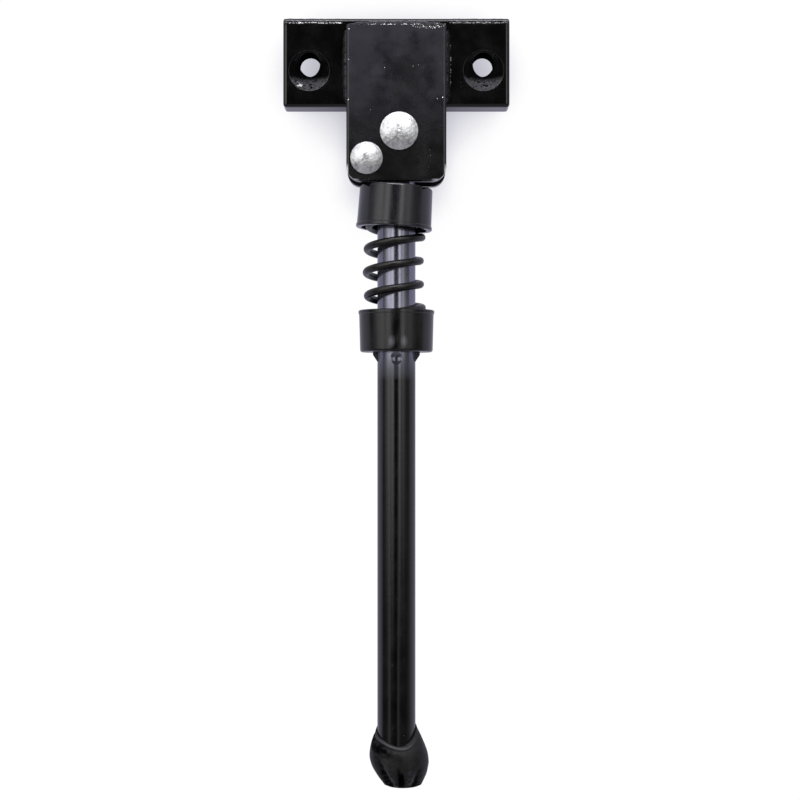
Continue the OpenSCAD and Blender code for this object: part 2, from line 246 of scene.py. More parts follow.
AROUND = [2 * math.pi * j / 96 for j in range(96)]
for side, name in ((-1, "left"), (1, "right")):
    hole_x = side * HOLE_X
    # The film of paint inside the bore, 0.05 mm thick: whether a ring follows the slanted edge where
    # the cone meets the bore, its y from there or from the back, and how many films in from the wall
    rings = []
    for at_cone, y, films in ((True, 0, 0), (True, 0.15, 1), (False, -0.2, 1), (False, -0.05, 0),
                              (False, -0.05, -1), (True, 0, -1)):
        ring = []
        for a in AROUND:
            depth = max(0.0, inside_rim(HOLE_R * math.cos(a), HOLE_R * math.sin(a)))
            start = -BAR_T + depth + 0.03 * MM if at_cone else 0.0
            r = HOLE_R - films * 0.05 * MM
            ring.append(Vector((hole_x + r * math.cos(a), start + y * MM, r * math.sin(a))))
        rings.append(ring)
    points, faces = skin(rings, loop=True)
    new_piece("bore_paint_" + name, points, faces, bore_black, "bracket")
    # The pebbled paint on the countersink's cone, with a bead of paint round its rim
    rings = []
    for i in range(27):
        t = i / 26
        ring = []
        for a in AROUND:
            out = Vector((math.cos(a), 0, math.sin(a)))
            # from where the cone meets the bore, which isn't on its centre line, to its rim
            p = Vector((hole_x, 0, -SINK_DROP * t)) + out * (HOLE_R + (SINK_R + 0.12 * MM - HOLE_R) * t)
            inside = inside_rim(p.x - hole_x, p.z)
            lumps = 0.05 * rough(p.x, side, p.z, 0.55 * MM) + 0.06 * rough(p.x, side, p.z, 1.1 * MM)
            rim = 0.07 * math.exp(-(inside / (0.16 * MM)) ** 2)
            edge = min(1.0, 6 * t, 9 * (1 - t))
            rise = (0.03 + lumps) * edge + rim - 0.05 * (1 - edge)
            ring.append(Vector((p.x, -BAR_T + max(0.0, inside) - rise * MM, p.z)))
        rings.append(ring)
    rings.reverse()
    points, faces = skin(rings, ends=False)
    new_piece("sink_paint_" + name, points, faces, sink_enamel, "bracket")

# The cheeks are two punched steel plates, one on each face of the bar. Their upper half has a painted sheen,
# slate grey where the plates reflect the light above, blotched darker in the middle and fading to deep black
# round the rivets.
def where_all(tree, *masks):
    """The mask of the places that all of the given masks share."""
    shared = masks[0]
    for mask in masks[1:]:
        shared = combine(tree, "MULTIPLY", shared, mask)
    return shared


BLOTCH_MIDDLE, BLOTCH_R = (3 * MM, -11 * MM, -4 * MM), 14 * MM
cheek_enamel, tree, shader = new_finish("cheek_enamel", specular_ior_level=0.5)
film = placed(tree, paint_film, paint=grey(0.004), haze=grey(0.008, 1.15), gloss=0.2, dust=0.5)
place = add(tree, "ShaderNodeTexCoord").outputs["Object"]
from_blotch = add(tree, "ShaderNodeVectorMath", {0: place, 1: BLOTCH_MIDDLE}, operation="DISTANCE")
blotch = combine(tree, "ADD", combine(tree, "DIVIDE", from_blotch.outputs["Value"], BLOTCH_R),
                 lift(tree, cloud(tree, 3.5 * MM, detail=5.0), 0.3, 0.7, -0.45, 0.45))
# painted sheen: slate grey coloured into the upper half, fading to black lower down and broken by a darker
# blotch
slate = where_all(tree, ramp_along(tree, "Z", -24 * MM, -6 * MM), lift(tree, blotch, 0.2, 1.0, 0.35, 1.0),
                  lift(tree, cloud(tree, 0.5 * MM, detail=3.0), 0.2, 0.7, 0.75, 1.1))
# painted glints: the rounded edge of the bottom corners is given bright bare steel
sideways = combine(tree, "MAXIMUM", ramp_along(tree, "X", 9.5 * MM, 11 * MM),
                   ramp_along(tree, "X", -10 * MM, -11.5 * MM))
rubbed_and_glint = where_all(tree, sideways, ramp_along(tree, "Z", -28.2 * MM, -29.6 * MM),
                   ramp_along(tree, "Y", -10.98 * MM, -10.86 * MM),
                   ramp_along(tree, "Y", -10.4 * MM, -10.55 * MM),
                   lift(tree, cloud(tree, 1.1 * MM), 0.3, 0.45))
paint = tint(tree, slate, film["Color"], grey(0.0155, 1.55))
tree.links.new(tint(tree, rubbed_and_glint, paint, grey(0.95)), shader.inputs["Base Color"])
tree.links.new(rubbed_and_glint, shader.inputs["Metallic"])
gloss = combine(tree, "ADD", film["Roughness"], combine(tree, "MULTIPLY", slate, 0.12))
gloss = combine(tree, "ADD", gloss, combine(tree, "MULTIPLY", rubbed_and_glint, 0.25))
tree.links.new(gloss, shader.inputs["Roughness"])
relief(tree, shader, film["Height"], 0.02 * MM)
dress(cheek_enamel, "front_cheek", "rear_cheek")

# The weld beads are hand-laid steel fillets, lumpy and wet-looking under the same enamel. Spatter and sharp
# ripples stand out of the top bead and along the toe of the right one, with bright bare steel painted on
# their tips as glints.
def show_glint_steel(tree, shader, film, glint_tips, steel):
    """Paint with bright bare steel painted in as glints wherever the mask glint_tips is 1."""
    tree.links.new(tint(tree, glint_tips, film["Color"], grey(steel)), shader.inputs["Base Color"])
    tree.links.new(glint_tips, shader.inputs["Metallic"])
    duller = combine(tree, "ADD", film["Roughness"], combine(tree, "MULTIPLY", glint_tips, 0.12))
    tree.links.new(duller, shader.inputs["Roughness"])
    relief(tree, shader, film["Height"], 0.03 * MM)


CHEEK_HALF, CHEEK_TOP, CHEEK_T, WELD_LOW = 13.7 * MM, 9.6 * MM, 3 * MM, -11.2 * MM
weld_enamel, tree, shader = new_finish("weld_enamel", specular_ior_level=0.35)
film = placed(tree, paint_film, paint=grey(0.004, 1.2), haze=grey(0.012, 1.25), gloss=0.12, dust=0.3)
# painted glints: the crests of the top bead and of the right bead's toe are given bright bare steel
crest_top = where_all(tree, ramp_along(tree, "Y", -10.7 * MM, -10.82 * MM),
                      ramp_along(tree, "Z", 8 * MM, 9 * MM), ramp_along(tree, "Z", 10.5 * MM, 10.1 * MM))
crest_side = where_all(tree, ramp_along(tree, "X", 14.84 * MM, 14.96 * MM),
                       ramp_along(tree, "Z", 9 * MM, 8 * MM))
show_glint_steel(tree, shader, film, combine(tree, "MAXIMUM", crest_top, crest_side), 0.85)


def bead_rings(length, leg_x, leg_y, seed, crest):
    """Rings of a bead along +Z in the corner between x = 0 and y = 0. crest gives the height of the
    spatter for a place along the bead, from 0 to 1, and round its arc, from 0 to 1."""
    rings = []
    count = round(length / (0.11 * MM))
    for i in range(count + 1):
        t = i / count
        z = t * length
        swell = 0.92 + 0.08 * rough(0, seed, z, 1.9 * MM) + 0.05 * math.sin(40 * t + seed)
        swell *= max(0.12, min(1.0, math.sin(math.pi * t) ** 0.2))
        ring = [Vector((-0.15 * MM, -0.15 * MM, z))]
        for k in range(19):
            arc = k / 18
            a = math.pi / 2 * arc
            x = leg_x * swell * (0.75 * math.cos(a) + 0.25 * (1 - arc))
            y = leg_y * swell * (0.75 * math.sin(a) + 0.25 * arc)
            out = Vector((math.cos(a), math.sin(a), 0))
            lumps = 0.10 * rough(seed, arc * leg_y * 1.5, z, 0.8 * MM)
            lumps += 0.05 * rough(seed + 9, arc * leg_y * 2, z, 0.35 * MM)
            spatter = crest(t, arc) * max(0.0, rough(seed + 5, arc * leg_y * 1.2, z, 0.42 * MM) + 0.12)
            inside = min(1.0, 8 * arc, 8 * (1 - arc))
            ring.append(Vector((x, y, z)) + out * MM * (lumps * inside + spatter))
        rings.append(ring)
    return rings


def lay_bead(name, side, rings, turn):
    """Turns a bead's rings into place on one face of the bar, with its faces outwards."""
    laid = [[turn(p) for p in ring] for ring in rings]
    root, a, b, c = laid[0][0], laid[0][1], laid[0][10], laid[1][1]
    if (b - a).cross(c - a).dot(b - root) < 0:
        laid = [list(reversed(ring)) for ring in laid]
    points, faces = skin(laid)
    bead = new_piece(side + "_" + name + "_bead", points, faces, weld_enamel, "bracket")
    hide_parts(side + "_" + name + "_weld")


def top_crest(t, arc):
    """Sharp at the outer toe of the top bead, most of all towards its right end."""
    toe = math.exp(-((arc - 0.06) / 0.14) ** 2)
    return toe * (0.75 + 0.9 * math.exp(-((t - 0.87) / 0.1) ** 2) + 0.3 * math.exp(-((t - 0.1) / 0.2) ** 2))


def right_crest(t, arc):
    """A thin sharp ripple at the toe on the bar's face."""
    return (0.75 - 0.35 * abs(t - 0.75)) * math.exp(-((arc - 0.04) / 0.09) ** 2)


def left_crest(t, arc):
    """The same ripple, nearly drowned in the paint."""
    return 0.3 * right_crest(t, arc)


TOP_RUN, SIDE_RUN = 2 * CHEEK_HALF + 0.2 * MM, 20 * MM
for side, face_y, out_y, side_seed in (("front", -BAR_T, -1, 0), ("rear", 0.0, 1, 8)):
    rings = bead_rings(TOP_RUN, CHEEK_T - 0.1 * MM, 1.9 * MM, 3.0 + side_seed / 2, top_crest)
    lay_bead("top", side, rings,
             lambda p: Vector((p.z - TOP_RUN / 2, face_y + out_y * p.x, CHEEK_TOP + p.y)))
    for name, out_x, seed, crest in (("left", -1, 11.0, left_crest), ("right", 1, 15.0, right_crest)):
        rings = bead_rings(SIDE_RUN, 1.2 * MM, 1.2 * MM, seed + side_seed, crest)
        lay_bead(name, side, rings,
                 lambda p: Vector((out_x * (CHEEK_HALF + p.x), face_y + out_y * p.y, WELD_LOW + p.z)))

# The arc threw small drops of weld steel, which cling to the front cheek with a dark scale on them:
# a dense drift at the right end of the top bead, and a few down the cheek's edges.
EDGE_X, EDGE_Z, EDGE_FALL = 12.9, 8.8, 0.62  # where the cheek's edges start to round, and how fast, in mm
# painted glints: the drops are given bright bare steel, with dark scale in patches, so they shine against
# the enamel
spatter_glint_steel, tree, shader = new_finish("spatter_glint_steel", metallic=0.9)
scale = lift(tree, cloud(tree, 0.5 * MM, detail=3.0), 0.35, 0.6)
tree.links.new(tint(tree, scale, grey(0.04, 1.2), grey(0.95)), shader.inputs["Base Color"])
tree.links.new(lift(tree, scale, 0.0, 1.0, 0.5, 0.25), shader.inputs["Roughness"])
relief(tree, shader, cloud(tree, 0.25 * MM), 0.04 * MM)
DROPS = [  # x, z and radius in mm
    (-12.9, 8.4, 0.26), (-13.1, 0.1, 0.22), (-13.1, -10.9, 0.2), (12.7, -10.3, 0.26), (11.2, -10.6, 0.13),
    (-3.2, -2.1, 0.16), (4.6, -1.7, 0.15), (6.0, -1.4, 0.1), (-7.1, -13.7, 0.12)]
for i in range(46):
    x = 4.4 + 9.0 * i / 45 + 0.2 * rough(i, 7.7, 0, 0.9)
    above_row = (0.42, -0.3, 0.08)[i % 3] * (1 + rough(x, 1.3, 0, 0.5))
    drift = 9.5 - 0.55 * math.sin(math.pi * (x - 4.4) / 9) + above_row
    DROPS.append((x, drift, 0.1 + 0.2 * abs(rough(x, 4.1, i, 0.3)) + 0.05 * (i % 2)))
points, faces = [], []
for x, z, r in DROPS:
    face_y = -(BAR_T + CHEEK_T) / MM + max(0.0, abs(x) - EDGE_X, z - EDGE_Z) ** 2 * EDGE_FALL
    rings = []
    for rise, wide in ((-0.6, 0.8), (0.0, 1.0), (0.35, 0.9), (0.62, 0.66), (0.78, 0.3)):
        ring = []
        for a in (2 * math.pi * j / 12 for j in range(12)):
            out_x = r * wide * (1 + 0.3 * rough(x, z, a, 0.9)) * math.cos(a)
            out_z = r * wide * (1 + 0.3 * rough(z, x, a, 0.9)) * math.sin(a)
            ring.append(Vector((x + out_x, face_y - r * rise, z + out_z)) * MM)
        rings.append(ring)
    drop_points, drop_faces = skin(rings)
    faces += [tuple(k + len(points) for k in face) for face in drop_faces]
    points += drop_points
new_piece("weld_spatter", points, faces, spatter_glint_steel, "bracket")


# The bar was sheared to its height, and the shear left a torn edge along its upper front corner, sharp on
# the left of the cheek and duller on the right. Bright bare steel is painted on its tips as glints, and its
# paint is coloured slate grey as a painted sheen on the rounded corner.
# the strip starts on the bar's face at EDGE_START, and FLAT_UP mm above that the corner begins
EDGE_START, FLAT_UP, EDGE_R = 10.3 * MM, 0.9, 1.0 * MM
BAR_TOP = EDGE_START + FLAT_UP * MM + EDGE_R
torn_enamel, tree, shader = new_finish("torn_enamel", specular_ior_level=0.6)
# painted sheen: the strip's paint is coloured slate grey, lighter than the bar's, over the rounded corner
film = placed(tree, paint_film, paint=grey(0.008, 1.2), haze=grey(0.03, 1.3), gloss=0.14, dust=0.6)
# painted glints: the torn edge's tips are given bright bare steel, stronger on the left
glint_tips = combine(tree, "MULTIPLY", ramp_along(tree, "Y", -8.08 * MM, -8.16 * MM),
               lift(tree, ramp_along(tree, "X", -2 * MM, 2 * MM), 0.0, 1.0, 1.0, 0.45))
show_glint_steel(tree, shader, film, glint_tips, 0.9)


def torn_edge(name, x_from, x_to, seed, height):
    """A strip of torn steel that wraps the bar's rounded corner, from its face up to its top."""
    rings = []
    count = round((x_to - x_from) / (0.09 * MM))
    for i in range(count + 1):
        x = x_from + (x_to - x_from) * i / count
        end = min(1.0, 12 * min(i, count - i) / count)
        line = 0.5 + 0.18 * rough(x, seed, 0, 2.6 * MM) + 0.1 * rough(x, seed, 0, 0.7 * MM)
        ring = []
        for k in range(27):
            # s is the way in mm up the bar's flat face and then round its corner
            s = 2.45 * k / 26
            angle = max(0.0, s - FLAT_UP)
            base = Vector((x, -BAR_T, EDGE_START + min(s, FLAT_UP) * MM))
            base += Vector((0, (1 - math.cos(angle)) * EDGE_R, math.sin(angle) * EDGE_R))
            out = Vector((0, -math.cos(angle), math.sin(angle)))
            jag = max(0.0, 0.3 + rough(x, seed, s * MM, 0.5 * MM)) * math.exp(-((s - line) / 0.12) ** 2)
            above = 1 / (1 + math.exp(-(s - line) / 0.06))
            lumps = above * (0.05 + 0.09 * rough(x, seed + 3, s * MM * 0.6, 0.8 * MM))
            edge = min(1.0, 9 * k / 26, 9 * (26 - k) / 26) * end
            point = base + out * MM * ((height * jag + lumps) * edge - 0.03 * (1 - edge))
            ring.append(Vector((point.x, point.y, min(point.z, BAR_TOP - 0.01 * MM))))
        ring.append(Vector((x, -BAR_T + 0.5 * MM, BAR_TOP - 0.3 * MM)))
        ring.append(Vector((x, -BAR_T + 0.15 * MM, EDGE_START + 0.1 * MM)))
        rings.append(list(reversed(ring)))
    points, faces = skin(rings)
    new_piece(name, points, faces, torn_enamel, "bracket")


torn_edge("torn_edge_left", -30.9 * MM, -14.2 * MM, 2.0, 0.5)
torn_edge("torn_edge_right", 14.2 * MM, 30.9 * MM, 6.0, 0.34)

# The two rivets are solid steel with bright zinc plate. The domes are mottled by the plating bath,
# and each has a small dull mark at its middle from the setting tool.
RIVET_MIDDLES = ((0.75 * MM, -19.4 * MM), (-8.15 * MM, -26.8 * MM))
zinc, tree, shader = new_finish("bright_zinc", specular_ior_level=0.6)
spangle = add(tree, "ShaderNodeTexVoronoi", {"Vector": at_size(tree, 0.8 * MM), "Scale": 1.0},
              feature="SMOOTH_F1").outputs["Distance"]
blot = combine(tree, "MULTIPLY", lift(tree, cloud(tree, 1.3 * MM, detail=5.0), 0.4, 0.64),
               lift(tree, spangle, 0.15, 0.6))
marks = []
for x, z in RIVET_MIDDLES:
    place = add(tree, "ShaderNodeTexCoord").outputs["Object"]
    flat = add(tree, "ShaderNodeVectorMath", {0: place, 1: (1, 0, 1)}, operation="MULTIPLY").outputs[0]
    off = add(tree, "ShaderNodeVectorMath", {0: flat, 1: (x, 0, z)}, operation="DISTANCE").outputs["Value"]
    wavy = combine(tree, "ADD", off, lift(tree, cloud(tree, 0.5 * MM), 0.3, 0.7, -0.35 * MM, 0.35 * MM))
    marks.append(lift(tree, wavy, 0.55 * MM, 0.3 * MM))
mark = combine(tree, "MAXIMUM", *marks)
soil = combine(tree, "MAXIMUM", combine(tree, "MULTIPLY", blot, 0.8), combine(tree, "MULTIPLY", mark, 0.9))
tree.links.new(tint(tree, soil, grey(0.82), grey(0.38, 1.05)), shader.inputs["Base Color"])
tree.links.new(lift(tree, soil, 0.0, 1.0, 0.9, 1.0), shader.inputs["Metallic"])
tree.links.new(lift(tree, soil, 0.0, 1.0, 0.4, 0.3), shader.inputs["Roughness"])
relief(tree, shader, combine(tree, "ADD", spangle, cloud(tree, 0.5 * MM)), 0.07 * MM)
dress(zinc, "pivot_rivet", "stop_rivet")

# The leg is a cold-drawn steel rod in the bracket's enamel. Where the sliding collar and the spring
# rub it, the film is thin and slate grey, and it fills out again below the lower collar.
rod_enamel, tree, shader = new_finish("rod_enamel", specular_ior_level=0.55)
film = placed(tree, paint_film, paint=grey(0.002), haze=grey(0.005, 1.1), gloss=0.12, dust=0.25)
rubbed_and_glint = combine(tree, "MULTIPLY", ramp_along(tree, "Z", -87.5 * MM, -79.5 * MM),
                 lift(tree, cloud(tree, 2 * MM, (1, 1, 6)), 0.2, 0.6, 0.7, 1.0))
tree.links.new(tint(tree, rubbed_and_glint, film["Color"], grey(0.23, 1.25)), shader.inputs["Base Color"])
tree.links.new(lift(tree, rubbed_and_glint, 0.0, 1.0, 0.0, 0.88), shader.inputs["Metallic"])
tree.links.new(combine(tree, "ADD", film["Roughness"], combine(tree, "MULTIPLY", rubbed_and_glint, 0.02)),
               shader.inputs["Roughness"])
drawn = combine(tree, "MULTIPLY", cloud(tree, 0.5 * MM, (1, 1, 60)), 0.5)
relief(tree, shader, combine(tree, "ADD", film["Height"], drawn), 0.01 * MM)
dress(rod_enamel, "leg_rod")

# Both collars are the same nylon moulding: a drafted cup with a lip and a flash line at its rim.
# The satin skin has fine streaks down the draw, where it came off the mould.
nylon, tree, shader = new_finish("collar_nylon", specular_ior_level=0.46)
streak = cloud(tree, 0.7 * MM, (1, 1, 14), detail=3.0)
rub = lift(tree, cloud(tree, 2.2 * MM, (1, 1, 2.5), detail=4.0), 0.45, 0.7)
dark = tint(tree, lift(tree, streak, 0.3, 0.7), grey(0.001), grey(0.004, 1.05))
slate = tint(tree, lift(tree, streak, 0.3, 0.7), grey(0.008, 1.2), grey(0.016, 1.3))
# the upper cup is coloured a lighter slate than the lower
tone = tint(tree, ramp_along(tree, "Z", -60 * MM, -50 * MM), dark, slate)
for x in (-1.25 * MM, 2.1 * MM):  # painted highlights: two upright soft spots on the front of the lower cup, coloured pale
    place = add(tree, "ShaderNodeTexCoord").outputs["Object"]
    narrow = add(tree, "ShaderNodeVectorMath", {0: place, 1: (1.7, 0.3, 1)}, operation="MULTIPLY").outputs[0]
    off = add(tree, "ShaderNodeVectorMath", {0: narrow, 1: (1.7 * x, -4.2 * MM, -76.9 * MM)},
              operation="DISTANCE").outputs["Value"]
    collar_glint = combine(tree, "MULTIPLY", lift(tree, off, 1.9 * MM, 0.4 * MM), lift(tree, streak, 0.2, 0.6))
    tone = tint(tree, collar_glint, tone, grey(0.13, 1.15))
tone = tint(tree, combine(tree, "MULTIPLY", rub, 0.25), tone, grey(0.03, 1.1))
tree.links.new(tone, shader.inputs["Base Color"])
tree.links.new(lift(tree, rub, 0.0, 1.0, 0.15, 0.26), shader.inputs["Roughness"])
relief(tree, shader, combine(tree, "ADD", streak, cloud(tree, 0.3 * MM)), 0.012 * MM)
dress(nylon, "lower_collar", "upper_collar")

# The spring is right-hand wound from 2.1 mm wire with a black oxide skin, one closed turn at each
# end, and it bows a little to the left between its cups.
LEG_Y = -4 * MM
WIRE_R, COIL_R = 1.05 * MM, 7.45 * MM
COIL_LOW, COIL_HIGH = -74.0 * MM, -40.1 * MM  # the wire's middle at its two ends
TURNS, CLOSED_PITCH = 6.55, 2.142 * MM
OPEN_PITCH = (COIL_HIGH - COIL_LOW - 2 * CLOSED_PITCH) / (TURNS - 2)
COIL_START, BOW = math.radians(106), 0.9 * MM


def wire_ring(turn, sides=18):
    """A ring of points round the wire, so many turns up the coil from its lower end."""
    angle = 2 * math.pi * turn + COIL_START
    z = COIL_LOW + min(turn, 1) * CLOSED_PITCH + max(0, min(turn - 1, TURNS - 2)) * OPEN_PITCH
    z += max(0, turn - TURNS + 1) * CLOSED_PITCH
    share = (z - COIL_LOW) / (COIL_HIGH - COIL_LOW)
    slope = math.atan(OPEN_PITCH / (2 * math.pi * COIL_R))
    out = Vector((math.cos(angle), math.sin(angle), 0))
    rise = Vector((math.sin(angle) * math.sin(slope), -math.cos(angle) * math.sin(slope), math.cos(slope)))
    centre = COIL_R * out + Vector((-BOW * math.sin(math.pi * share) ** 2, LEG_Y, z))
    end = min(1.0, 0.55 + 8 * min(turn, TURNS - turn))
    return [centre + WIRE_R * end * (math.cos(a) * out - math.sin(a) * rise)
            for a in (2 * math.pi * j / sides for j in range(sides))]


oxide, tree, shader = new_finish("black_oxide", specular_ior_level=0.4)
bloom = lift(tree, cloud(tree, 1.2 * MM, detail=4.0), 0.35, 0.7)
skin_tone = tint(tree, bloom, (0.0025, 0.0025, 0.002, 1), (0.010, 0.0095, 0.007, 1))
tree.links.new(skin_tone, shader.inputs["Base Color"])
tree.links.new(lift(tree, bloom, 0.0, 1.0, 0.26, 0.42), shader.inputs["Roughness"])
relief(tree, shader, cloud(tree, 0.3 * MM), 0.01 * MM)
steps = round(TURNS * 56)
points, faces = skin([wire_ring(TURNS * i / steps) for i in range(steps + 1)])
coil = new_piece("coil_spring", points, faces, oxide, None)
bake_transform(coil)
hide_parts("spring")

# The foot is a moulded rubber boot pushed over the rod's end. Its slanted mouth has a thin lip that
# hugs the rod, its belly leans outwards, and its low front is folded from the mould and from use.
SOLE_Z, FOOT_H, FOOT_HALF, SOLE_HALF = -199.5 * MM, 18 * MM, 8.15 * MM, 5.2 * MM
ROD_R, MOUTH_HALF = 5.3 * MM, 5.75 * MM
BELLY, ROUND = 0.41, 0.93  # how far up the belly is widest, and the depth as a share of the width
TOE_OUT, TOE_FRONT = 1.8 * MM, 0.5 * MM
# the rim's height round the boot in mm, by degrees from its front to its right
RIM = [(-180, -182.3), (-116, -183.2), (-90, -184.9), (-60, -186.1), (-38, -186.8), (-18, -187.6),
       (-4, -188.05), (10, -188.25), (24, -188.05), (36, -187.4), (48, -186.7), (64, -185.6), (80, -184.3),
       (100, -183.3), (130, -182.6), (180, -182.3)]
FOLDS = [  # from and to in x and z, width, depth, all in mm; a negative depth is a ridge
    ((-5.2, -191.4), (-1.9, -198.6), 1.15, 1.25),
    ((-3.4, -191.6), (-0.3, -198.6), 0.8, -0.7),
    ((0.4, -193.6), (1.5, -196.6), 0.8, 0.9),
    ((1.4, -195.8), (1.3, -198.8), 1.0, 1.2),
    ((3.6, -193.8), (3.9, -197.4), 1.1, -0.6),
    ((6.2, -194.2), (5.2, -198.6), 1.1, 1.1),
]


def foot_half(share):
    """Half the boot's width, a share of the way up its full height."""
    if share < BELLY:
        return SOLE_HALF + (FOOT_HALF - SOLE_HALF) * math.sin(math.pi / 2 * share / BELLY)
    return MOUTH_HALF + (FOOT_HALF - MOUTH_HALF) * math.cos(math.pi / 2 * (share - BELLY) / (1 - BELLY)) ** 2


def folded(point, outward):
    """How far the folds near a point of the front press it in."""
    x, z = point.x / MM, point.z / MM
    depth = 0.0
    for (x0, z0), (x1, z1), width, fold in FOLDS:
        along = Vector((x1 - x0, z1 - z0))
        t = max(0.0, min(1.0, Vector((x - x0, z - z0)).dot(along) / along.length_squared))
        gap = Vector((x - x0, z - z0)) - t * along
        spread = width * (0.6 + 0.6 * t) * (1 + 0.35 * noise.noise(point / (1.3 * MM)))
        depth += fold * (0.35 + 0.65 * t) * math.exp(-gap.length_squared / spread ** 2)
    wrinkle = 0.12 * noise.noise(point / (2.2 * MM)) + 0.2 * noise.noise(point / (5 * MM))
    low = max(0.0, min(1.0, 1.5 - (z + 199.5) / 7))
    return MM * (depth * max(0.0, -outward.y) ** 0.5 + wrinkle * low)


def foot_point(share, outward):
    """A place on the plain boot, a share of the way up from its sole."""
    across = foot_half(share)
    return Vector((TOE_OUT * (1 - share) ** 1.6 + across * outward.x,
                   LEG_Y - TOE_FRONT * (1 - share) + across * ROUND * outward.y, SOLE_Z + share * FOOT_H))


def rim_height(outward):
    """The height of the slanted mouth's rim on one side of the boot."""
    turn = math.degrees(math.atan2(outward.x, -outward.y))
    for (a, low), (b, high) in zip(RIM, RIM[1:]):
        if turn <= b:
            return MM * (low + (high - low) * (turn - a) / (b - a))
    return MM * RIM[-1][1]


def hump(distance, middle, width):
    """1 where a distance below the lip is the middle, in mm, and fading to 0 on both sides of it."""
    return math.exp(-((distance / MM - middle) / width) ** 2)


def foot_column(outward):
    """The boot's outside from the sole up to its lip, then over it and down inside, as points with a tone
    from -1, painted shade in a fold, to 1, painted light on the lip and on a fold's ridge; scuffs on the
    sole's edge raise it too."""
    top = (rim_height(outward) - SOLE_Z) / FOOT_H
    front, left = max(0.0, -outward.y), max(0.0, 0.35 - outward.x)
    # painted highlight: the lip is coloured pale, most on the front, where its rounded edge catches the
    # light
    wear_and_lip_highlight = 0.2 + 0.8 * front * max(0.0, 1 - 1.5 * max(0.0, outward.x - 0.2))
    sole_middle = Vector((TOE_OUT, LEG_Y - TOE_FRONT, SOLE_Z))
    column = [(sole_middle.lerp(foot_point(0, outward), inset), 0.0) for inset in (0.3, 0.62, 0.9)]
    for i in range(64):
        share = 0.012 + (top - 0.012) * (i / 63) ** 0.85
        point = foot_point(share, outward)
        below_lip = (top - share) * FOOT_H
        tight = (0.32 + 0.2 * front) * hump(below_lip, 0, 1.6)
        groove = 0.3 * hump(below_lip, 1.0, 0.4) * left
        lip = 0.13 * front * hump(below_lip, 0.3, 0.25)
        fold = folded(point, outward)
        patchy = 0.9 + 1.1 * noise.noise(point / (0.9 * MM))
        tone = wear_and_lip_highlight * math.exp(-(below_lip / (0.45 * MM)) ** 4)
        # painted shade: the wall just under the lip on the left is darkened
        tone -= 0.8 * patchy * left * hump(below_lip, 2.2, 1.4)
        # the edge of the sole is scuffed in spots
        tone += 1.4 * front * max(0.0, noise.noise(point / (0.7 * MM))) * math.exp(-(share / 0.02) ** 2)
        # painted shade in the folds and painted light on their ridges, from how deep each fold is
        column.append((point - outward * (MM * (tight + groove - lip) + fold), tone - patchy * fold / MM))
    rim = column[-1][0]
    rod_side = Vector((0, LEG_Y, rim.z)) + outward * (ROD_R + 0.02 * MM)
    for wall, drop in ((0.15, -0.1), (0.45, -0.2), (0.8, -0.22), (1.0, -0.14), (1.0, 2.5)):
        column.append((rim.lerp(rod_side, wall) - Vector((0, 0, drop * MM)), 0.6 * wear_and_lip_highlight))
    return column


SIDES = 120
OUTWARDS = [Vector((math.cos(a), math.sin(a), 0)) for a in (2 * math.pi * j / SIDES for j in range(SIDES))]
rings = list(zip(*(foot_column(outward) for outward in OUTWARDS)))
points, faces = skin([[point for point, tone in ring] for ring in rings])
rubber, tree, shader = new_finish("boot_rubber")
scuff = lift(tree, cloud(tree, 3 * MM, detail=5.0), 0.4, 0.7)
fine = cloud(tree, 0.35 * MM, detail=2.0)
base = tint(tree, scuff, grey(0.008), grey(0.017, 1.02))
base = tint(tree, lift(tree, fine, 0.55, 0.75, 0.0, 0.4), base, grey(0.035))
tone = add(tree, "ShaderNodeAttribute", attribute_name="tone").outputs["Fac"]
# the tone paints shade dark into the folds and under the lip, and light pale onto the lip and the fold
# ridges
base = tint(tree, lift(tree, tone, 0.0, -0.6), base, grey(0.001))
pale = combine(tree, "MULTIPLY", lift(tree, tone, 0.1, 0.9), lift(tree, fine, 0.2, 0.5, 0.5, 1.0))
tree.links.new(tint(tree, pale, base, grey(0.06, 1.08)), shader.inputs["Base Color"])
tree.links.new(lift(tree, tone, -0.7, 0.2, 0.02, 0.27), shader.inputs["Specular IOR Level"])
tree.links.new(lift(tree, scuff, 0.0, 1.0, 0.42, 0.6), shader.inputs["Roughness"])
relief(tree, shader, combine(tree, "ADD", fine, cloud(tree, 1.1 * MM, detail=3.0)), 0.05 * MM)
boot = new_piece("rubber_boot", points, faces, rubber, "leg")
tones = [tone for ring in rings for point, tone in ring]
boot.data.attributes.new("tone", "FLOAT", "POINT").data.foreach_set("value", tones)
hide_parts("foot")

# The studio: the bracket rests against a sheet of white paper that curves away behind the leg,
# between two tall soft boxes, with a narrow lamp above and darkness behind the camera.
SHEET_HALF = 1.2
CURVE = [(0.15, -1.2), (0.13, -0.26), (0.1, -0.15), (0.065, -0.1), (0.036, -0.07), (0.019, -0.05),
         (0.010, -0.035), (0.0075, -0.02), (0.0075, 1.2)]  # y and z from the bottom up
sheet_mesh = bpy.data.meshes.new("white_sheet")
sheet_mesh.from_pydata([(x, y, z) for y, z in CURVE for x in (-SHEET_HALF, SHEET_HALF)], [],
                       [(2 * i, 2 * i + 1, 2 * i + 3, 2 * i + 2) for i in range(len(CURVE) - 1)])
sheet_mesh.polygons.foreach_set("use_smooth", [True] * len(sheet_mesh.polygons))
white_sheet = bpy.data.objects.new("white_sheet", sheet_mesh)
bpy.context.scene.collection.objects.link(white_sheet)
paper = bpy.data.materials.new("white_paper")
paper.use_nodes = True
tree = paper.node_tree
